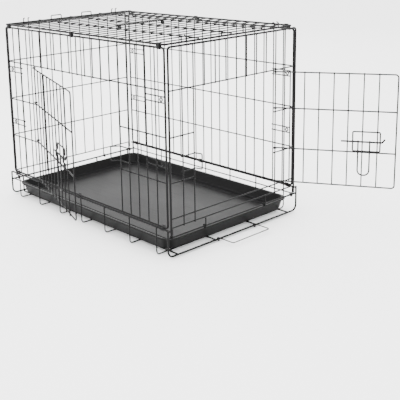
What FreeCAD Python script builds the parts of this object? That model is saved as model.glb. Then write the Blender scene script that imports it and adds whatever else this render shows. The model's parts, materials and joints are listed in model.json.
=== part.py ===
import FreeCAD, Part
import math
import os

from FreeCAD import Vector

os.makedirs("parts", exist_ok=True)

# Frame: X along the crate, Y across it, Z up. The origin is the middle of the ground under it.
# The side door is in the -Y side, the end door in the +X end. Millimetres and degrees.

# wire sizes
mesh_wire = 2.8
bar_wire = 3.0
door_wire = 3.3
floor_wire = 3.8
rail_wire = 4.2
base_wire = 4.4
frame_wire = 4.6
gate_wire = 2.4
touch = 0.02
running_gap = 0.3

# the cage
side_x = 304.8
panel_x = 305.05
side_y = 207.5
end_x = 312.6
end_y = 200.0
front_post_y = 204.5
hinge_z = 68.0
header_z = 367.0
near_top_z = 456.8
top_z = 463.7
end_top_z = 458.7
side_bays = 20
end_bays = 12
frame_bend = 6.0

# the base
base_frame_x = 312.7
base_frame_y = 214.7
base_rail_z = 5.0
base_top_z = 63.9
end_rail_z = 46.0
base_bend = 14.0
floor_wire_y = (-185.0, -68.0, 68.0, 185.0)
cross_wire_bays = (1, 4, 7, 10, 13, 16, 19)

# doors
side_door_bays = (4, 15)
end_door_bays = (2, 10)
side_door_width = 345.0
end_door_width = 273.0
side_door_open = 20.0
end_door_open = 121.0
sill_z = 88.0

# hinge clips of the folding box
top_link = 12.6
clip_wall = 1.0
clip_length = 9.0
clip_bays = (0.5, 9.5, 19.5)

# tray and gate
tray_x = 301.5
tray_y = 206.0
tray_low_z = 10.2
tray_rim_z = 37.5
gate_reach = 46.0
gate_y = 61.0

# carry handle
handle_length = 150.0
handle_x = -15.2

bar_inset = (mesh_wire + bar_wire) / 2 + touch
side_pitch = 2 * side_x / side_bays
end_pitch = 2 * end_y / end_bays
bay_z = (header_z - hinge_z) / 3
base_top_y = base_frame_y - (base_wire + rail_wire) / 2 - touch
end_rail_x = base_frame_x - (base_wire + rail_wire) / 2 - touch
link_step = top_link / math.sqrt(2)
far_top_z = top_z - link_step
top_far_y = side_y - link_step


def rod(start, end, thickness):
    start, end = Vector(*start), Vector(*end)
    return Part.makeCylinder(thickness / 2, (end - start).Length, start, end - start)


def bend_arc(before, corner, after, radius):
    into = (corner - before).normalize()
    out = (after - corner).normalize()
    turn = into.getAngle(out)
    setback = radius * math.tan(turn / 2)
    first, last = corner - into * setback, corner + out * setback
    inward = (out - into).normalize()
    middle = corner + inward * (radius / math.cos(turn / 2) - radius)
    return first, middle, last


def sweep(edges, start, direction, thickness):
    section = Part.Wire(Part.Circle(start, direction, thickness / 2).toShape())
    pipe = Part.Wire(edges).makePipeShell([section], True, False)
    return pipe.Solids[0]


def bent_wire(points, bend, thickness):
    """Straight runs joined by tangent arcs, all of one bend radius."""
    points = [Vector(*p) for p in points]
    edges, here = [], points[0]
    for before, corner, after in zip(points, points[1:], points[2:]):
        first, middle, last = bend_arc(before, corner, after, bend)
        if (first - here).Length > 1e-6:
            edges.append(Part.LineSegment(here, first).toShape())
        edges.append(Part.Arc(first, middle, last).toShape())
        here = last
    edges.append(Part.LineSegment(here, points[-1]).toShape())
    return sweep(edges, points[0], points[1] - points[0], thickness)


def eye_wire(eye, wind, straight_to, eye_radius, from_angle, sweep_angle, thickness):
    """A wire that curls round a pivot and runs off straight; eye, wind and out span its plane."""
    eye, along, out = Vector(*eye), Vector(*wind[0]), Vector(*wind[1])

    def at(angle):
        a = math.radians(angle)
        return eye + along * (eye_radius * math.cos(a)) + out * (eye_radius * math.sin(a))

    start, end = at(from_angle), at(from_angle + sweep_angle)
    curl = Part.Arc(start, at(from_angle + sweep_angle / 2), end).toShape()
    run = Part.LineSegment(end, Vector(*straight_to)).toShape()
    return sweep([curl, run], start, curl.tangentAt(curl.FirstParameter), thickness)


def sleeve(x, first, second, bore, length=clip_length):
    """A strip wrapped round two parallel rails, an obround tube along X."""

    def obround(radius):
        (y0, z0), (y1, z1) = first, second
        reach = math.hypot(y1 - y0, z1 - z0)
        body = Part.makeBox(length, 2 * radius, reach, Vector(0, -radius, 0))
        for z in (0, reach):
            end = Part.makeCylinder(radius, length, Vector(0, 0, z), Vector(1, 0, 0))
            body = body.fuse(end)
        tilt = math.degrees(math.atan2(y0 - y1, z1 - z0))
        body.rotate(Vector(0, 0, 0), Vector(1, 0, 0), tilt)
        body.translate(Vector(x - length / 2, y0, z0))
        return body

    return obround(bore + clip_wall).cut(obround(bore)).removeSplitter().Solids[0]


def rotated(shapes, centre, axis, angle):
    turned = [s.copy() for s in shapes]
    for s in turned:
        s.rotate(Vector(*centre), Vector(*axis), angle)
    return turned


def save(node, shapes):
    shapes = shapes if isinstance(shapes, list) else [shapes]
    for s in shapes:
        assert s.isValid() and s.Volume > 0, node
    whole = shapes[0] if len(shapes) == 1 else Part.makeCompound(shapes)
    whole.exportStep("parts/" + node + ".step")


def side_x_at(bay):
    return -side_x + side_pitch * bay


def end_y_at(bay):
    return -end_y + end_pitch * bay


# ---- base: two bent end frames, cross wires, floor wires and rails


def base_frame(x):
    y, top = base_frame_y, base_top_z + 2
    path = [(x, -y, top), (x, -y, base_rail_z), (x, y, base_rail_z), (x, y, top)]
    return bent_wire(path, base_bend, base_wire)


def cross_wire(x):
    y = base_top_y + (rail_wire + mesh_wire) / 2 + touch
    low, top = mesh_wire / 2, base_top_z + 1
    return bent_wire([(x, -y, top), (x, -y, low), (x, y, low), (x, y, top)], 8, mesh_wire)


def long_floor_wire(y):
    z = mesh_wire + floor_wire / 2 + touch
    front = base_frame_x - base_wire / 2 - touch
    back = -end_rail_x + (rail_wire + floor_wire) / 2 + touch
    return bent_wire([(front, y, z), (back, y, z), (back, y, end_rail_z + 2)], 5, floor_wire)


def base_rail(y, z, reach, thickness):
    return rod((-reach, y, z), (reach, y, z), thickness)


def near_hook_clip(x):
    """A strip under the base rail whose tab stands behind the loose rail of the near side."""
    outer = rail_wire / 2 + touch + clip_wall
    ring = Part.makeCylinder(outer, clip_length).cut(Part.makeCylinder(outer - clip_wall, clip_length))
    cup = ring.cut(Part.makeBox(2 * outer, 4 * outer, clip_length, Vector(-2 * outer, -2 * outer, 0)))
    cup.rotate(Vector(0, 0, 0), Vector(0, 1, 0), 90)
    cup.translate(Vector(x - clip_length / 2, -base_top_y, base_top_z))
    tab_y = -side_y + frame_wire / 2 + running_gap + 0.1
    foot_z = base_top_z - clip_wall
    tab = Part.makeBox(clip_length, clip_wall, 8, Vector(x - clip_length / 2, tab_y, foot_z))
    bridge_y = -base_top_y + outer - clip_wall / 2
    size = (clip_length, tab_y - bridge_y + clip_wall, clip_wall)
    bridge = Part.makeBox(*size, Vector(x - clip_length / 2, bridge_y, foot_z))
    return cup.fuse([bridge, tab]).removeSplitter().Solids[0]


middle_rail_y = base_top_y + rail_wire / 2 - bar_wire / 2
save("base_end_frames", [base_frame(-base_frame_x), base_frame(base_frame_x)])
save("base_cross_wires", [cross_wire(side_x_at(i)) for i in cross_wire_bays])
save("base_floor_wires", [long_floor_wire(y) for y in floor_wire_y])
top_rails = [base_rail(s * base_top_y, base_top_z, base_frame_x + 2, rail_wire) for s in (-1, 1)]
save("base_top_rails", top_rails)
middle_reach = end_rail_x - rail_wire / 2 - touch
middle_rails = [base_rail(s * middle_rail_y, end_rail_z, middle_reach, bar_wire) for s in (-1, 1)]
save("base_middle_rails", middle_rails)
end_rail_reach = base_frame_y + 1
end_rails = []
for x in (-end_rail_x, end_rail_x):
    end_rails.append(rod((x, -end_rail_reach, end_rail_z), (x, end_rail_reach, end_rail_z), rail_wire))
save("base_end_rails", end_rails)
far_rail, base_rail_far = (side_y, hinge_z), (base_top_y, base_top_z)
hinge_bore = frame_wire / 2 + running_gap
far_clips = [sleeve(side_x_at(i), base_rail_far, far_rail, hinge_bore) for i in clip_bays]
save("far_hinge_clips", far_clips)
save("near_hook_clips", [near_hook_clip(side_x_at(i)) for i in clip_bays])


# ---- panels, drawn at the origin with their outer face towards -Y


def panel_frame(half_width, low, high):
    """A closed rectangle with bent corners, made of two bent halves that meet on the middle."""

    def half(s):
        w = s * half_width
        return bent_wire([(0, 0, high), (w, 0, high), (w, 0, low), (0, 0, low)], frame_bend, frame_wire)

    return half(-1).fuse(half(1)).removeSplitter().Solids[0]


def arch(half_width, low, high):
    points = [(-half_width, 0, low), (-half_width, 0, high), (half_width, 0, high), (half_width, 0, low)]
    return bent_wire(points, frame_bend, frame_wire)


def upright(x, low, high, thickness=mesh_wire):
    return rod((x, 0, low), (x, 0, high), thickness)


def bar(x0, x1, z, thickness=bar_wire):
    return rod((x0, bar_inset, z), (x1, bar_inset, z), thickness)


def placed(shapes, turn, x, y):
    shapes = rotated(shapes, (0, 0, 0), (0, 0, 1), turn)
    for s in shapes:
        s.translate(Vector(x, y, 0))
    return shapes


bar_reach = side_x - frame_wire / 2 + 0.3
bar_levels = [header_z, hinge_z + 2 * bay_z, hinge_z + bay_z]
catch_levels = (354.0, 341.0, 214.0, 201.0)
catch_outer = 299.3


def catch_bars():
    """Pairs of short wires near both ends, two bays long."""
    inner = side_x - 2 * side_pitch - mesh_wire / 2
    return [
        rod((s * inner, mesh_wire, z), (s * catch_outer, mesh_wire, z), mesh_wire - 2 * touch)
        for z in catch_levels
        for s in (-1, 1)
    ]


def catch_rings():
    """A ring between the two wires of each pair."""
    radius = (catch_levels[0] - catch_levels[1]) / 2 - mesh_wire - touch
    rings = []
    for high, low in (catch_levels[:2], catch_levels[2:]):
        for s in (-1, 1):
            x = s * (side_x - side_pitch / 2)
            centre = Vector(x, mesh_wire, (high + low) / 2)
            rings.append(Part.makeTorus(radius, mesh_wire / 2 - touch, centre, Vector(0, 1, 0)))
    return rings


# ---- far side, whole

far_low, far_high = hinge_z, far_top_z
inner_low, inner_high = far_low + frame_wire / 2 + touch, far_high - frame_wire / 2 - touch
far_uprights = [upright(side_x_at(i), inner_low, inner_high) for i in range(1, side_bays)]
far_place = (180, 0, side_y)
save("far_frame", placed([panel_frame(panel_x, far_low, far_high)], *far_place))
save("far_uprights", placed(far_uprights, *far_place))
save("far_bars", placed([bar(-bar_reach, bar_reach, z) for z in bar_levels], *far_place))
save("far_catch_bars", placed(catch_bars(), *far_place))
save("far_catch_rings", placed(catch_rings(), *far_place))


# ---- near side, with the side doorway

near_low, near_high = hinge_z, near_top_z
inner_low, inner_high = near_low + frame_wire / 2 + touch, near_high - frame_wire / 2 - touch
door_left, door_right = (side_x_at(i) for i in side_door_bays)
header_bottom = header_z - bar_wire / 2
near_uprights = []
for i in range(1, side_bays):
    in_doorway = side_door_bays[0] < i < side_door_bays[1]
    near_uprights.append(upright(side_x_at(i), header_bottom if in_doorway else inner_low, inner_high))
near_bars = [bar(-bar_reach, bar_reach, header_z)]
for z in bar_levels[1:]:
    near_bars.append(bar(-bar_reach, door_left + mesh_wire / 2, z))
    near_bars.append(bar(door_right - mesh_wire / 2, bar_reach, z))
near_place = (0, 0, -side_y)
save("near_frame", placed([panel_frame(panel_x, near_low, near_high)], *near_place))
save("near_uprights", placed(near_uprights, *near_place))
save("near_bars", placed(near_bars, *near_place))
save("near_catch_bars", placed(catch_bars(), *near_place))
save("near_catch_rings", placed(catch_rings(), *near_place))


# ---- doors, drawn shut with the jamb at the origin, reaching to +X, outer face towards -Y

eye_radius = (mesh_wire + door_wire) / 2 + running_gap
door_upright_y = -(eye_radius + (door_wire + mesh_wire) / 2 + touch)
bolt_wire = 4.0
bolt_y = door_upright_y - (mesh_wire + bolt_wire) / 2 - running_gap
guide_rest_y = door_upright_y - (mesh_wire + door_wire) / 2 - touch
guide_out_y = bolt_y - (bolt_wire + door_wire) / 2 - running_gap
bolt_z = 203.0
bolt_travel = 19.0
guide_width = 61.0
guide_high, guide_low = 24.0, -22.0
handle_drop = 81.0
handle_width = 26.0


def curled_bar(width, z, thickness):
    plane = ((1, 0, 0), (0, -1, 0))
    return eye_wire((0, 0, z), plane, (width, -eye_radius, z), eye_radius, 390, -300, thickness)


def door_frame(width, low, high):
    """One wire: an eye on the jamb, along the top, down the free edge and back to a second eye."""
    plane_y, r = -eye_radius, 7.0

    def eye_points(z):
        angles = [math.radians(a) for a in (390, 240)]
        return [Vector(eye_radius * math.cos(a), -eye_radius * math.sin(a), z) for a in angles]

    def curl(z):
        start, middle = eye_points(z)
        return Part.Arc(start, middle, Vector(0, plane_y, z)).toShape()

    top = bend_arc(Vector(0, plane_y, high), Vector(width, plane_y, high), Vector(width, plane_y, low), r)
    foot = bend_arc(Vector(width, plane_y, high), Vector(width, plane_y, low), Vector(0, plane_y, low), r)
    upper_end, lower_end = Vector(0, plane_y, high), Vector(0, plane_y, low)
    start, middle = eye_points(low)
    edges = [
        curl(high),
        Part.LineSegment(upper_end, top[0]).toShape(),
        Part.Arc(*top).toShape(),
        Part.LineSegment(top[2], foot[0]).toShape(),
        Part.Arc(*foot).toShape(),
        Part.LineSegment(foot[2], lower_end).toShape(),
        Part.Arc(lower_end, middle, start).toShape(),
    ]
    first = edges[0]
    return sweep(edges, first.Vertexes[0].Point, first.tangentAt(first.FirstParameter), door_wire)


def door_uprights(width, pitch, count, low, high):
    reach = door_wire / 2
    shapes = []
    for i in range(1, count + 1):
        x = pitch * i
        shapes.append(rod((x, door_upright_y, low - reach), (x, door_upright_y, high + reach), mesh_wire))
    return shapes


def latch_guide(centre_x):
    """A rectangle of wire on two uprights, with its sides bowed out over the bolt."""
    half, rest, out = guide_width / 2, guide_rest_y, guide_out_y
    high, low = bolt_z + guide_high, bolt_z + guide_low

    def side(s):
        x = centre_x + s * half
        return [
            (x, rest, high),
            (x, rest, bolt_z + 11),
            (x, out, bolt_z + 5),
            (x, out, bolt_z - 5),
            (x, rest, bolt_z - 11),
            (x, rest, low),
        ]

    middle_top = (centre_x, rest, high)
    halves = []
    for s in (-1, 1):
        path = [middle_top] + side(s) + [(centre_x, rest, low)]
        halves.append(bent_wire(path, 3, door_wire))
    return halves[0].fuse(halves[1]).removeSplitter().Solids[0]


def latch_bolt(centre_x):
    start, end = centre_x - 57, centre_x + 35
    path = [(start, bolt_y, bolt_z), (end, bolt_y, bolt_z), (end + 6, bolt_y, bolt_z + 8)]
    return bent_wire(path, 4, bolt_wire)


def latch_handle(centre_x):
    y = bolt_y - (bolt_wire + door_wire) / 2 - touch
    right = centre_x + 7.5
    left, high, low = right - handle_width, bolt_z + 2, bolt_z - handle_drop
    path = [(left, y, high), (left, y, low), (right, y, low), (right, y, high)]
    return bent_wire(path, 12, door_wire)


def keeper(tip_x, first_x, doorway_x):
    """A loop on the inside of the panel that bends out through the door for the bolt."""
    inside = mesh_wire + touch
    out = guide_out_y
    turn_x = doorway_x - 6
    high, low = bolt_z + 18, bolt_z - 16
    path = [
        (first_x, inside, high),
        (turn_x, inside, high),
        (tip_x, out, high),
        (tip_x, out, low),
        (turn_x, inside, low),
        (first_x, inside, low),
    ]
    return bent_wire(path, 3, mesh_wire)


def door_set(width, pitch, count, low, high, middles, latch_x):
    return {
        "frame": [door_frame(width, low, high)],
        "uprights": door_uprights(width, pitch, count, low, high),
        "bars": [curled_bar(width - door_wire / 2 - touch, z, door_wire) for z in middles],
        "latch_guide": [latch_guide(latch_x)],
        "latch_bolt": [latch_bolt(latch_x)],
        "latch_handle": [latch_handle(latch_x)],
    }


def mirrored(shapes):
    return [s.mirror(Vector(0, 0, 0), Vector(1, 0, 0)) for s in shapes]


side_doors = door_set(side_door_width, side_pitch, 10, 74.0, header_z - 4.2, (175.0, 274.0), 268.0)
for name, shapes in side_doors.items():
    save("side_door_" + name, placed(shapes, -side_door_open, door_left, -side_y))
side_latch_gap = door_right - door_left
side_keeper = keeper(318.0, side_latch_gap + side_pitch + mesh_wire, side_latch_gap)
save("side_door_keeper", placed([side_keeper], 0, door_left, -side_y))

end_doors = door_set(end_door_width, 33.2, 7, 98.0, header_z - 4.2, (180.0, 277.0), 208.0)
jamb_y = end_y_at(end_door_bays[1])
for name, shapes in end_doors.items():
    shapes = placed(mirrored(shapes), 90 + end_door_open, end_x, jamb_y)
    save("end_door_" + name, shapes)
end_gap = end_pitch * (end_door_bays[1] - end_door_bays[0])
end_keeper = keeper(257.0, end_gap + end_pitch + mesh_wire, end_gap)
save("end_door_keeper", placed(mirrored([end_keeper]), 90, end_x, jamb_y))


# ---- end panels


def end_legs(high, places):
    """Wires that come down from the lowest bar and curl round the base's end rail."""
    radius = (rail_wire + mesh_wire) / 2 + running_gap
    plane = ((0, -1, 0), (0, 0, -1))
    inset = end_x - end_rail_x
    legs = []
    for x in places:
        eye = (x, inset, end_rail_z)
        legs.append(eye_wire(eye, plane, (x, inset - radius, high), radius, 290, -290, mesh_wire))
    return legs


leg_y = end_pitch * 3
end_low = hinge_z - bar_wire / 2
foot_z = end_rail_z + 6


def end_panel(post_y, door):
    """Outer face towards -Y; the doorway, if any, is between the bays given."""
    high, reach = end_top_z - frame_wire / 2 - touch, post_y - frame_wire / 2 + 0.3
    uprights, bars = [], [bar(-reach, reach, z) for z in (hinge_z, header_z)]
    for i in range(1, end_bays):
        inside = door and door[0] < i < door[1]
        uprights.append(upright(end_y_at(i), header_bottom if inside else end_low, high))
    for z in bar_levels[1:]:
        if door:
            bars.append(bar(-reach, end_y_at(door[0]) + mesh_wire / 2, z))
            bars.append(bar(end_y_at(door[1]) - mesh_wire / 2, reach, z))
        else:
            bars.append(bar(-reach, reach, z))
    if door:
        bars.append(bar(-reach, reach, sill_z))
    return uprights, bars


for end, turn in (("front", 90), ("rear", -90)):
    s = 1 if end == "front" else -1
    post_y = front_post_y if end == "front" else end_y
    uprights, bars = end_panel(post_y, end_door_bays if end == "front" else None)
    corner_leg = post_y - (frame_wire + mesh_wire) / 2 - touch
    leg_places = (-corner_leg, -leg_y, leg_y, corner_leg)
    place = (turn, s * end_x, 0)
    save(end + "_frame", placed([arch(post_y, foot_z, end_top_z)], *place))
    save(end + "_bars", placed(bars, *place))
    save(end + "_uprights", placed(uprights, *place))
    save(end + "_legs", placed(end_legs(end_low - touch, leg_places), *place))


# ---- top: frame, cross wires, long wires above them, prongs and bows at both ends


def top_frame():
    x, near, far = side_x, -side_y, top_far_y

    def half(s):
        path = [(0, near, top_z), (s * x, near, top_z), (s * x, far, top_z), (0, far, top_z)]
        return bent_wire(path, frame_bend, frame_wire)

    return half(-1).fuse(half(1)).removeSplitter().Solids[0]


long_wire_z = top_z + bar_inset
cross_low, cross_high = -side_y + frame_wire / 2 + touch, top_far_y - frame_wire / 2 - touch
cross_wires = [
    rod((side_x_at(i), cross_low, top_z), (side_x_at(i), cross_high, top_z), mesh_wire)
    for i in range(1, side_bays)
]
long_reach = side_x - frame_wire / 2 + 0.3
long_pitch = (top_far_y + side_y) / 4
long_ys = [-side_y + long_pitch * k for k in (1, 2, 3)]
long_wires = [rod((-long_reach, y, long_wire_z), (long_reach, y, long_wire_z), bar_wire) for y in long_ys]
prong_x = side_x - (frame_wire + mesh_wire) / 2 - touch
prong_foot, prong_tip = top_z - 1.9, top_z + 11
prong_y, prong_step, bow_y, bow_width = 148.0, 7.0, 51.0, 33.0


def prong(s, y):
    x = s * prong_x
    return bent_wire([(x, y, prong_foot), (x, y, prong_tip), (x - s * 5, y, prong_tip + 1)], 2, mesh_wire)


def bow(s, y):
    x, a, b = s * prong_x, y - bow_width / 2, y + bow_width / 2
    path = [(x, a, prong_foot), (x, a, prong_tip), (x, b, prong_tip), (x, b, prong_foot)]
    return bent_wire(path, 3, mesh_wire)


save("top_frame", top_frame())
save("top_cross_wires", cross_wires)
save("top_long_wires", long_wires)
prong_ys = [t * prong_y + u * prong_step for t in (-1, 1) for u in (-1, 1)]
save("top_prongs", [prong(s, y) for s in (-1, 1) for y in prong_ys])
save("top_bows", [bow(s, t * bow_y) for s in (-1, 1) for t in (-1, 1)])
near_rail, top_near_rail = (-side_y, near_top_z), (-side_y, top_z)
save("near_hinge_clips", [sleeve(side_x_at(i), near_rail, top_near_rail, hinge_bore) for i in clip_bays])
far_top_rail, top_far_rail = (side_y, far_top_z), (top_far_y, top_z)
save("top_hinge_clips", [sleeve(side_x_at(i), far_top_rail, top_far_rail, hinge_bore) for i in clip_bays])


# ---- carry handle: a strap with an eye at each end on a cross wire


def carry_handle():
    pivot_x = side_x_at(10)
    eye_bore = mesh_wire / 2 + running_gap
    eye_wall, strap, lift = 1.6, 2.6, long_wire_z + bar_wire / 2 + running_gap
    width, half, ear = 15.0, handle_length / 2, 9.0
    middle_y = (top_far_y - side_y) / 2
    grip = Part.makeBox(width, 2 * half, strap, Vector(handle_x - width / 2, middle_y - half, lift))
    grip = grip.makeFillet(1.0, grip.Edges)
    body, bores = grip, []
    for s in (-1, 1):
        y = middle_y + s * (half - ear / 2)
        corner = Vector(handle_x, y - ear / 2, lift)
        arm = Part.makeBox(pivot_x - handle_x, ear, strap, corner)
        pivot, across = Vector(pivot_x, y - ear / 2, top_z), Vector(0, 1, 0)
        outer = eye_bore + eye_wall
        eye = Part.makeCylinder(outer, ear, pivot, across)
        post = Part.makeBox(outer, ear, lift + strap - top_z, pivot - Vector(outer, 0, 0))
        body = body.fuse([arm, eye, post])
        bores.append(Part.makeCylinder(eye_bore, ear + 2, pivot - across, across))
    return body.cut(bores).removeSplitter().Solids[0]


save("carry_handle", carry_handle())


# ---- tray and the wire gate that keeps it in


def rounded_outline(half_x, half_y, radius, z):
    x, y, r = half_x, half_y, radius
    d = r * (1 - math.sqrt(0.5))
    corners = [
        ((x - r, -y), (x - d, -y + d), (x, -y + r)),
        ((x, y - r), (x - d, y - d), (x - r, y)),
        ((-x + r, y), (-x + d, y - d), (-x, y - r)),
        ((-x, -y + r), (-x + d, -y + d), (-x + r, -y)),
    ]
    edges = []
    for k, corner in enumerate(corners):
        first, middle, last = (Vector(a, b, z) for a, b in corner)
        edges.append(Part.Arc(first, middle, last).toShape())
        after = corners[(k + 1) % 4][0]
        edges.append(Part.LineSegment(last, Vector(after[0], after[1], z)).toShape())
    return Part.Wire(edges)


def tapered_block(low_inset, low_z, high_inset, high_z, radius):
    low = rounded_outline(tray_x - low_inset, tray_y - low_inset, radius, low_z)
    high = rounded_outline(tray_x - high_inset, tray_y - high_inset, radius, high_z)
    return Part.makeLoft([low, high], True, True)


def tray():
    wall, rim, draft, floor = 2.4, 5.0, 7.0, 2.6
    shell = tapered_block(rim + draft, tray_low_z, rim, tray_rim_z, 26)
    lip = tapered_block(0, tray_rim_z - 3, 0, tray_rim_z, 30)
    inside = tapered_block(rim + draft + wall, tray_low_z + floor, rim + wall - 0.2, tray_rim_z + 1, 24)
    return shell.fuse(lip).cut(inside).removeSplitter().Solids[0]


def tray_gate():
    """Lies on the ground side of the tray's way out, with an eye at each leg on the base frame."""
    radius = (base_wire + gate_wire) / 2 + 0.25
    tip = base_frame_x + gate_reach

    def curl(y, forward):
        points = []
        for angle in (340, 215, 90) if forward else (90, 215, 340):
            a = math.radians(angle)
            points.append(Vector(base_frame_x + radius * math.cos(a), y, base_rail_z + radius * math.sin(a)))
        return Part.Arc(*points).toShape()

    a, b, r = -gate_y, gate_y, 5.0
    z = base_rail_z + radius
    run_end = [Vector(base_frame_x, a, z), Vector(base_frame_x, b, z)]
    first = bend_arc(run_end[0], Vector(tip, a, z), Vector(tip, b, z), r)
    second = bend_arc(Vector(tip, a, z), Vector(tip, b, z), run_end[1], r)
    edges = [
        curl(a, True),
        Part.LineSegment(run_end[0], first[0]).toShape(),
        Part.Arc(*first).toShape(),
        Part.LineSegment(first[2], second[0]).toShape(),
        Part.Arc(*second).toShape(),
        Part.LineSegment(second[2], run_end[1]).toShape(),
        curl(b, False),
    ]
    begin = edges[0]
    return sweep(edges, begin.Vertexes[0].Point, begin.tangentAt(begin.FirstParameter), gate_wire)


save("tray", tray())
save("tray_gate", tray_gate())
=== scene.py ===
import json
import math

import bmesh
import bpy
from mathutils import Matrix, Vector


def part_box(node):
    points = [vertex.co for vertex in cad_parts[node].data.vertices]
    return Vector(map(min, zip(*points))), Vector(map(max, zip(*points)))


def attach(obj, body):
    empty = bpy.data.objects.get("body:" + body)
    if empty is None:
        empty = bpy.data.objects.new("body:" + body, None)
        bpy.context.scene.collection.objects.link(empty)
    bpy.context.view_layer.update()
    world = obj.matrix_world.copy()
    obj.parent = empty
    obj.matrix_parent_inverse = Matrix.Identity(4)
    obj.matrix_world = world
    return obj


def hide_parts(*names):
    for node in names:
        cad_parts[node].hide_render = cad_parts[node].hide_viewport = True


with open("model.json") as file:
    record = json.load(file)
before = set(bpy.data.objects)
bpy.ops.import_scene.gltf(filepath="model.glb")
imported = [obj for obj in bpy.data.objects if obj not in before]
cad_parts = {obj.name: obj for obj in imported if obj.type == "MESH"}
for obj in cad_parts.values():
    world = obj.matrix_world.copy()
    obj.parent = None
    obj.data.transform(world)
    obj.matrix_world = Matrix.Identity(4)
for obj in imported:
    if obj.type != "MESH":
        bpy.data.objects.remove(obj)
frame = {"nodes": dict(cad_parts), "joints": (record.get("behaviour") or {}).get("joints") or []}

nodes = frame["nodes"]
joints = {j["name"]: j for j in frame["joints"]}
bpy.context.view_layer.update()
mm = 0.001
print("frame loaded,", len(nodes), "pieces")


# a socket that can be used in sums
class Value:
    def __init__(self, tree, socket):
        self.tree = tree
        self.socket = socket

    def math(self, operation, other, flipped=False):
        pair = [other, self] if flipped else [self, other]
        return self.tree.add("ShaderNodeMath", {"operation": operation}, dict(enumerate(pair)))

    def __add__(self, other):
        return self.math("ADD", other)

    def __radd__(self, other):
        return self.math("ADD", other, True)

    def __sub__(self, other):
        return self.math("SUBTRACT", other)

    def __rsub__(self, other):
        return self.math("SUBTRACT", other, True)

    def __mul__(self, other):
        return self.math("MULTIPLY", other)

    def __rmul__(self, other):
        return self.math("MULTIPLY", other, True)

    def clamped(self):
        return self.math("MAXIMUM", 0.0).math("MINIMUM", 1.0)


class Finish:
    def __init__(self, name):
        self.material = bpy.data.materials.new(name)
        self.material.use_nodes = True
        self.nodes = self.material.node_tree.nodes
        self.links = self.material.node_tree.links
        self.shader = self.nodes["Principled BSDF"]

    def add(self, kind, settings=None, sockets=None, out=0):
        made = self.nodes.new(kind)
        for key, setting in (settings or {}).items():
            setattr(made, key, setting)
        for key, given in (sockets or {}).items():
            self.feed(made.inputs[key], given)
        return Value(self, made.outputs[out])

    def feed(self, socket, given):
        if isinstance(given, Value):
            self.links.new(given.socket, socket)
        elif isinstance(given, tuple) and len(given) == 3 and socket.type == "RGBA":
            socket.default_value = (*given, 1)
        else:
            socket.default_value = given

    def surface(self, **sockets):
        for key, given in sockets.items():
            self.feed(self.shader.inputs[key.replace("_", " ")], given)

    def place(self):
        return self.add("ShaderNodeTexCoord", out="Object")

    def noise(self, where, scale, detail=3.0, roughness=0.5):
        sockets = {"Vector": where, "Scale": scale, "Detail": detail, "Roughness": roughness}
        return self.add("ShaderNodeTexNoise", {}, sockets)

    def cells(self, where, scale):
        sockets = {"Vector": where, "Scale": scale}
        return self.add("ShaderNodeTexVoronoi", {"feature": "SMOOTH_F1"}, sockets)

    def mix(self, share, one, two):
        made = self.nodes.new("ShaderNodeMix")
        made.data_type = "RGBA"
        self.feed(made.inputs[0], share)
        self.feed(made.inputs[6], one)
        self.feed(made.inputs[7], two)
        return Value(self, made.outputs[2])

    def bump(self, height, strength, distance):
        sockets = {"Height": height, "Strength": strength, "Distance": distance}
        return self.add("ShaderNodeBump", {}, sockets)

    def upward(self):
        normal = self.add("ShaderNodeNewGeometry", out="Normal")
        return self.add("ShaderNodeSeparateXYZ", {}, {"Vector": normal}, out=2)


coatLook = {
    "dark": (0.0010, 0.0010, 0.0011),
    "light": (0.0025, 0.0025, 0.0027),
    "dust": (0.007, 0.007, 0.0066),
    "roughness": 0.42,
    "spread": 0.16,
    "specular": 0.1,
    "coat": 0.02,
    "coatRoughness": 0.3,
}


def wireCoat(name, shade=1.0, roughness=0.0):
    look, f = coatLook, Finish(name)
    where = f.place()
    broad = f.noise(where, 22.0, 4.0, 0.6)
    fine = f.noise(where, 1400.0, 2.0, 0.5)
    speckle = (f.noise(where, 420.0, 2.0) - 0.62).clamped() * 2.6
    dusty = (f.upward() - 0.55).clamped() * broad * 0.35
    dark, light = (tuple(c * shade for c in look[k]) for k in ("dark", "light"))
    colour = f.mix(broad, dark, light)
    colour = f.mix(dusty.clamped(), colour, look["dust"])
    rough = look["roughness"] + roughness + (broad - 0.5) * look["spread"] + speckle * 0.25 + dusty * 0.3
    height = fine * 0.35 + broad * 0.4
    f.surface(Base_Color=colour, Roughness=rough.clamped(), Normal=f.bump(height, 0.25, 0.0002))
    f.surface(Coat_Weight=look["coat"], Coat_Roughness=look["coatRoughness"])
    f.surface(Specular_IOR_Level=look["specular"])
    return f.material


trayLook = {
    "dark": (0.0035, 0.0035, 0.0036),
    "light": (0.006, 0.006, 0.0061),
    # colour of the floor's scuffs, also used as painted sheen where the floor catches the light
    "scuffAndSheenTint": (0.009, 0.009, 0.009),
    "roughness": 0.40,
    "grain": 900.0,
    "streaks": (3.0, 60.0, 60.0),
    "specular": 0.06,
}


def trayPlastic():
    look, f = trayLook, Finish("trayPlastic")
    where = f.place()
    broad = f.noise(where, 7.0, 5.0, 0.6)
    drawn = f.add("ShaderNodeMapping", {}, {"Vector": where, "Scale": look["streaks"]})
    streak = f.noise(drawn, 3.0, 4.0, 0.6)
    pebble = f.cells(where, look["grain"])
    # upward faces of the floor get lighter streaks: part scuffs, part painted sheen standing in for the
    # light the floor catches
    flat = (f.upward() - 0.9).clamped() * 10.0
    scuffsAndSheen = ((streak - 0.56).clamped() * 3.0 * flat).clamped()
    colour = f.mix(broad, look["dark"], look["light"])
    colour = f.mix(scuffsAndSheen * 0.3, colour, look["scuffAndSheenTint"])
    rough = look["roughness"] + (broad - 0.5) * 0.12 + scuffsAndSheen * 0.12
    height = pebble * 0.6 + f.noise(where, 2400.0, 2.0) * 0.3
    f.surface(Base_Color=colour, Roughness=rough.clamped(), Normal=f.bump(height, 0.22, 0.0003))
    f.surface(Specular_IOR_Level=look["specular"])
    return f.material


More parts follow.
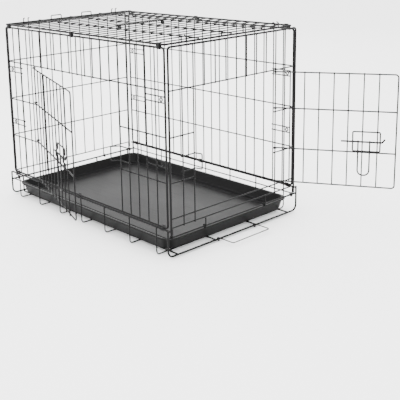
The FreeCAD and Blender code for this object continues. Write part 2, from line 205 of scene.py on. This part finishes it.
handleLook = {
    "dark": (0.003, 0.003, 0.0031),
    "light": (0.006, 0.006, 0.0062),
    "roughness": 0.46,
    "specular": 0.1,
}


def handlePlastic():
    look, f = handleLook, Finish("handlePlastic")
    where = f.place()
    broad = f.noise(where, 40.0, 4.0, 0.6)
    grain = f.noise(where, 2600.0, 2.0)
    worn = (f.upward() - 0.7).clamped() * (broad - 0.4).clamped()
    colour = f.mix(broad, look["dark"], look["light"])
    rough = look["roughness"] + (broad - 0.5) * 0.1 - worn * 0.3
    f.surface(Base_Color=colour, Roughness=rough.clamped(), Normal=f.bump(grain, 0.3, 0.0002))
    f.surface(Specular_IOR_Level=look["specular"])
    return f.material


coat = wireCoat("blackWireCoat")
heavyCoat = wireCoat("blackRailCoat", 1.1, 0.02)
stripCoat = wireCoat("blackStripCoat", 1.5, 0.06)
boltCoat = wireCoat("blackBoltCoat", 1.2, -0.06)
weldCoat = wireCoat("blackWeldCoat", 1.2, 0.08)
plastic = trayPlastic()
gripPlastic = handlePlastic()
print("finishes ready")


def finishFor(name):
    if "clips" in name:
        return stripCoat
    if "bolt" in name:
        return boltCoat
    if name.endswith("frame") or name.endswith("frames") or "rails" in name:
        return heavyCoat
    return coat


for name, piece in nodes.items():
    piece.data.materials.clear()
    piece.data.materials.append(finishFor(name))
    for face in piece.data.polygons:
        face.material_index = 0


def meshPiece(name, mesh, material, body):
    data = bpy.data.meshes.new(name)
    mesh.to_mesh(data)
    mesh.free()
    piece = bpy.data.objects.new(name, data)
    bpy.context.scene.collection.objects.link(piece)
    data.materials.append(material)
    for face in data.polygons:
        face.use_smooth = True
    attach(piece, body)
    return piece


# the tray: rings of one rounded outline, from the underside round the rim and down to the floor
traySettings = {
    "cornerSteps": 10,
    "rimCorner": 30.0,
    "floorCorner": 20.0,
    "cornerFade": 16.0,  # how far in the corner turns from the rim's radius to the floor's
    "profile": (
        (16.5, 0.02), (13.4, 0.1), (12.2, 0.6), (11.7, 1.6), (5.5, 23.4), (5.0, 24.0), (1.0, 24.1),
        (0.4, 24.3), (0.05, 24.9), (0.02, 26.2), (0.3, 26.9), (1.0, 27.25), (4.6, 27.28), (6.2, 27.1),
        (7.0, 26.4), (7.4, 25.0), (13.4, 5.6), (13.9, 4.2), (15.0, 3.1), (16.8, 2.62), (19.0, 2.6),
        (27.0, 2.6), (28.0, 2.45), (29.0, 1.95), (30.0, 1.8), (34.0, 1.8), (35.0, 1.95), (36.0, 2.45),
        (37.0, 2.6), (60.0, 2.62),
    ),
}


def roundedRing(mesh, half, inset, corner, z, steps):
    ring = []
    x, y = half[0] - inset, half[1] - inset
    r = max(corner, 2 * mm)
    for k, (sx, sy) in enumerate(((1, -1), (1, 1), (-1, 1), (-1, -1))):
        for i in range(steps + 1):
            a = math.radians(-90 + 90 * k + 90 * i / steps)
            ring.append(mesh.verts.new((sx * (x - r) + r * math.cos(a), sy * (y - r) + r * math.sin(a), z)))
    return ring


def makeTray():
    s = traySettings
    low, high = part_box("tray")
    half = ((high.x - low.x) / 2, (high.y - low.y) / 2)
    mesh, rings = bmesh.new(), []
    for inset, up in s["profile"]:
        share = min(inset / s["cornerFade"], 1.0)
        corner = (s["rimCorner"] * (1 - share) + s["floorCorner"] * share) * mm
        rings.append(roundedRing(mesh, half, inset * mm, corner, low.z + up * mm, s["cornerSteps"]))
    for one, two in zip(rings, rings[1:]):
        for i in range(len(one)):
            j = (i + 1) % len(one)
            mesh.faces.new((one[i], one[j], two[j], two[i]))
    mesh.faces.new(rings[0][::-1])
    mesh.faces.new(rings[-1])
    bmesh.ops.recalc_face_normals(mesh, faces=mesh.faces)
    tray = meshPiece("trayShell", mesh, plastic, "tray")
    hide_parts("tray")


makeTray()
print("tray made")


# the carry handle: a rounded strap with an eye at each end on a cross wire
handleSettings = {
    "thick": 2.6,
    "width": 15.0,
    "ear": 9.0,
    "corner": 6.0,
    "innerCorner": 3.0,
    "edge": 0.9,
    "eyeInner": 1.72,
    "eyeOuter": 3.3,
    "eyeSides": 28,
    "eyeEdge": 0.35,
    "ridges": 17,
    "ridgeStep": 5.0,
    "ridgeLong": 4.6,
    "ridgeWide": 1.1,
    "ridgeHigh": 0.45,
}


def arcPoints(centre, radius, start, end, steps=8):
    points = []
    for i in range(steps + 1):
        a = math.radians(start + (end - start) * i / steps)
        points.append((centre[0] + radius * math.cos(a), centre[1] + radius * math.sin(a)))
    return points


def makeHandle():
    s = handleSettings
    low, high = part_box("carry_handle")
    eye = high.x - s["eyeOuter"] * mm
    left, right = low.x, low.x + s["width"] * mm
    top = high.z
    bottom = top - s["thick"] * mm
    a, b, ear = low.y, high.y, s["ear"] * mm
    r, n = s["corner"] * mm, s["innerCorner"] * mm
    outline = arcPoints((left + r, a + r), r, 270, 180) + arcPoints((left + r, b - r), r, 180, 90)
    outline += [(eye, b), (eye, b - ear)]
    outline += arcPoints((right + n, b - ear - n), n, 90, 180, 4)
    outline += arcPoints((right + n, a + ear + n), n, 180, 270, 4)
    outline += [(eye, a + ear), (eye, a)]
    mesh = bmesh.new()
    face = mesh.faces.new([mesh.verts.new((x, y, bottom)) for x, y in outline])
    lifted = bmesh.ops.extrude_face_region(mesh, geom=[face])
    upper = [v for v in lifted["geom"] if isinstance(v, bmesh.types.BMVert)]
    bmesh.ops.translate(mesh, vec=(0, 0, top - bottom), verts=upper)
    bmesh.ops.recalc_face_normals(mesh, faces=mesh.faces)
    rims = [e for e in mesh.edges if abs(e.verts[0].co.z - e.verts[1].co.z) < 1e-7]
    bmesh.ops.bevel(mesh, geom=rims, offset=s["edge"] * mm, segments=4, profile=0.5, affect="EDGES")
    for y in (a + ear / 2, b - ear / 2):
        addEye(mesh, eye, y, nodesZ("top_cross_wires"), ear)
    middle = (a + b) / 2
    for i in range(s["ridges"]):
        y = middle + (i - (s["ridges"] - 1) / 2) * s["ridgeStep"] * mm
        addRidge(mesh, (left + right) / 2, y, top)
    handle = meshPiece("carryStrap", mesh, gripPlastic, "handle")
    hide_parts("carry_handle")


def nodesZ(name):
    low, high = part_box(name)
    return (low.z + high.z) / 2


def addEye(mesh, x, y, z, width):
    s = handleSettings
    inner, outer, half, e = s["eyeInner"] * mm, s["eyeOuter"] * mm, width / 2, s["eyeEdge"] * mm
    section = [
        (inner, -half + e), (inner + e, -half), (outer - e, -half), (outer, -half + e),
        (outer, half - e), (outer - e, half), (inner + e, half), (inner, half - e),
    ]
    rings = []
    for i in range(s["eyeSides"]):
        a = math.tau * i / s["eyeSides"]
        around = [(x + r * math.cos(a), y + w, z + r * math.sin(a)) for r, w in section]
        rings.append([mesh.verts.new(point) for point in around])
    for i, ring in enumerate(rings):
        after = rings[(i + 1) % len(rings)]
        for k in range(len(section)):
            n = (k + 1) % len(section)
            mesh.faces.new((ring[k], ring[n], after[n], after[k]))
    post = bmesh.ops.create_cube(mesh, size=1)["verts"]
    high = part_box("carry_handle")[1].z - 0.8 * mm
    low = z + inner
    middle = Vector((x - outer / 2 - inner / 2, y, (low + high) / 2))
    size = Vector((outer - inner, width - 1 * mm, high - low))
    for v in post:
        v.co = middle + v.co * size


def addRidge(mesh, x, y, z):
    long, wide, high = (handleSettings[k] * mm for k in ("ridgeLong", "ridgeWide", "ridgeHigh"))
    rings = []
    for i in range(9):
        t = -1 + 2 * i / 8
        r = math.sqrt(max(1 - t ** 4, 0.02))
        ring = []
        for k in range(7):
            a = math.pi * k / 6
            across, up = wide * r * math.cos(a), high * r * math.sin(a)
            ring.append(mesh.verts.new((x + long * t, y + across, z - 0.1 * mm + up)))
        rings.append(ring)
    for one, two in zip(rings, rings[1:]):
        for k in range(6):
            mesh.faces.new((one[k], one[k + 1], two[k + 1], two[k]))


makeHandle()
print("carry handle made")


# weld nuggets where two wires of a panel cross
weldSettings = {"reach": 0.35, "crossing": 8.0, "long": 1.85, "flat": 1.0, "rings": 4, "sides": 8}


def wiresOf(name, toLocal):
    data = nodes[name].data
    links = {}
    for edge in data.edges:
        a, b = edge.vertices
        links.setdefault(a, []).append(b)
        links.setdefault(b, []).append(a)
    # the imported mesh has split corners, so points in one place count as one
    place = {}
    for v in data.vertices:
        place.setdefault(tuple(round(c, 6) for c in v.co), []).append(v.index)
    for group in place.values():
        for other in group[1:]:
            links.setdefault(group[0], []).append(other)
            links.setdefault(other, []).append(group[0])
    seen, wires = set(), []
    for start in range(len(data.vertices)):
        if start in seen:
            continue
        stack, members = [start], []
        seen.add(start)
        while stack:
            v = stack.pop()
            members.append(toLocal @ data.vertices[v].co)
            for other in links.get(v, ()):
                if other not in seen:
                    seen.add(other)
                    stack.append(other)
        low = Vector([min(p[k] for p in members) for k in range(3)])
        high = Vector([max(p[k] for p in members) for k in range(3)])
        wires.append((low, high))
    return wires


def addNugget(mesh, centre, axis):
    s = weldSettings
    rows = []
    for i in range(s["rings"] + 1):
        t = math.pi * i / s["rings"]
        row = []
        for k in range(s["sides"]):
            a = math.tau * k / s["sides"]
            local = [s["long"] * math.sin(t) * math.cos(a), s["long"] * math.sin(t) * math.sin(a)]
            local.insert(axis, s["flat"] * math.cos(t))
            row.append(mesh.verts.new([c + d * mm for c, d in zip(centre, local)]))
        rows.append(row)
    for one, two in zip(rows, rows[1:]):
        for k in range(s["sides"]):
            n = (k + 1) % s["sides"]
            mesh.faces.new((one[k], one[n], two[n], two[k]))


def weld(name, body, group, others, normal, frameAt=Matrix.Identity(4)):
    toLocal = frameAt.inverted()
    mesh, count = bmesh.new(), 0
    reach, crossing = weldSettings["reach"] * mm, weldSettings["crossing"] * mm
    ones = [w for n in group for w in wiresOf(n, toLocal)]
    twos = [w for n in others for w in wiresOf(n, toLocal)]
    for lowA, highA in ones:
        for lowB, highB in twos:
            low = Vector([max(a, b) for a, b in zip(lowA, lowB)])
            high = Vector([min(a, b) for a, b in zip(highA, highB)])
            if all(high[k] - low[k] > -reach for k in range(3)) and max(high - low) < crossing:
                addNugget(mesh, (low + high) / 2, normal)
                count += 1
    bmesh.ops.remove_doubles(mesh, verts=mesh.verts, dist=1e-6)
    bmesh.ops.transform(mesh, matrix=frameAt, verts=mesh.verts)
    meshPiece(name, mesh, weldCoat, body)
    print(name, count)


# the base's wires are bent up at their ends, so their crossings come from their middles
def weldBase():
    mesh = bmesh.new()
    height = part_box("base_floor_wires")[0].z
    for lowA, highA in wiresOf("base_cross_wires", Matrix.Identity(4)):
        for lowB, highB in wiresOf("base_floor_wires", Matrix.Identity(4)):
            addNugget(mesh, ((lowA.x + highA.x) / 2, (lowB.y + highB.y) / 2, height), 2)
    meshPiece("baseWelds", mesh, weldCoat, "cage")
    print("baseWelds made")


# how far each door's plane is turned from X at rest, in degrees
doorTurn = {"side_door_swing": -20, "end_door_swing": 31}


def doorFrame(joint):
    place = joints[joint]["pos_m"]
    turn = Matrix.Rotation(math.radians(doorTurn[joint]), 4, "Z")
    return Matrix.Translation((place[0], place[1], 0)) @ turn


weld("farWelds", "far_side", ["far_uprights"], ["far_bars", "far_catch_bars"], 1)
weld("nearWelds", "near_side", ["near_uprights"], ["near_bars", "near_catch_bars"], 1)
weld("topWelds", "top_panel", ["top_cross_wires"], ["top_long_wires"], 2)
weld("frontWelds", "cage", ["front_uprights"], ["front_bars"], 0)
weld("rearWelds", "rear_end", ["rear_uprights"], ["rear_bars"], 0)
weldBase()
sidePlane, endPlane = doorFrame("side_door_swing"), doorFrame("end_door_swing")
weld("sideDoorWelds", "side_door", ["side_door_uprights"], ["side_door_bars"], 1, sidePlane)
weld("endDoorWelds", "end_door", ["end_door_uprights"], ["end_door_bars"], 1, endPlane)


# floor, light and camera
studioSettings = {
    "floor": (0.93, 0.93, 0.93),
    "floorReach": 6,
    "floorDrop": 0.0005,
    "world": 4.0,
    "lights": (
        ("topSoftbox", (-0.4, -0.5, 2.6), (0.0, 0.0, 0.2), 2.6, 70.0),
        ("sideSoftbox", (2.4, -1.6, 1.6), (0.1, 0.0, 0.2), 1.8, 30.0),
        ("backSoftbox", (-1.8, 2.2, 1.8), (0.0, 0.0, 0.2), 2.0, 26.0),
    ),
}


def makeStudio():
    s = studioSettings
    mesh = bmesh.new()
    reach = s["floorReach"]
    for x, y in ((-reach, -reach), (reach, -reach), (reach, reach), (-reach, reach)):
        mesh.verts.new((x, y, -s["floorDrop"]))
    mesh.faces.new(mesh.verts)
    data = bpy.data.meshes.new("paleFloor")
    mesh.to_mesh(data)
    mesh.free()
    floor = bpy.data.objects.new("paleFloor", data)
    bpy.context.scene.collection.objects.link(floor)
    f = Finish("paleFloorPaint")
    shade = f.noise(f.place(), 3.0, 2.0)
    darker = tuple(c * 0.985 for c in s["floor"])
    f.surface(Base_Color=f.mix(shade, s["floor"], darker), Roughness=0.6)
    data.materials.append(f.material)
    world = bpy.data.worlds.new("studioWorld")
    bpy.context.scene.world = world
    world.use_nodes = True
    sky = world.node_tree.nodes["Background"]
    sky.inputs[0].default_value = (1.0, 1.0, 1.0, 1)
    sky.inputs[1].default_value = s["world"]
    for name, place, target, size, power in s["lights"]:
        light = bpy.data.lights.new(name, "AREA")
        light.shape, light.size, light.energy = "DISK", size, power
        lamp = bpy.data.objects.new(name, light)
        lamp.location = place
        lamp.rotation_euler = (Vector(target) - Vector(place)).to_track_quat("-Z", "Y").to_euler()
        bpy.context.scene.collection.objects.link(lamp)


makeStudio()

cameraSettings = {
    "azimuth": 49.39,
    "elevation": 13.04,
    "roll": -1.64,
    "target": (0.0, 0.0, 0.234),
    "distance": 2.0124,
    "lens": 71.22,
    "shiftX": 0.13625,
    "shiftY": -0.2125,
}


def makeCamera():
    s = cameraSettings
    az, el, roll = (math.radians(s[k]) for k in ("azimuth", "elevation", "roll"))
    back = Vector((math.sin(az) * math.cos(el), -math.cos(az) * math.cos(el), math.sin(el)))
    side = Vector((math.cos(az), math.sin(az), 0))
    up = back.cross(side)
    right = side * math.cos(roll) + up * math.sin(roll)
    up = up * math.cos(roll) - side * math.sin(roll)
    lens = bpy.data.cameras.new("studioCamera")
    lens.lens, lens.sensor_width = s["lens"], 36.0
    lens.shift_x, lens.shift_y = s["shiftX"], s["shiftY"]
    camera = bpy.data.objects.new("studioCamera", lens)
    turn = Matrix((right, up, back)).transposed().to_4x4()
    camera.matrix_world = Matrix.Translation(Vector(s["target"]) + back * s["distance"]) @ turn
    bpy.context.scene.collection.objects.link(camera)
    bpy.context.scene.camera = camera


makeCamera()
print("studio ready")
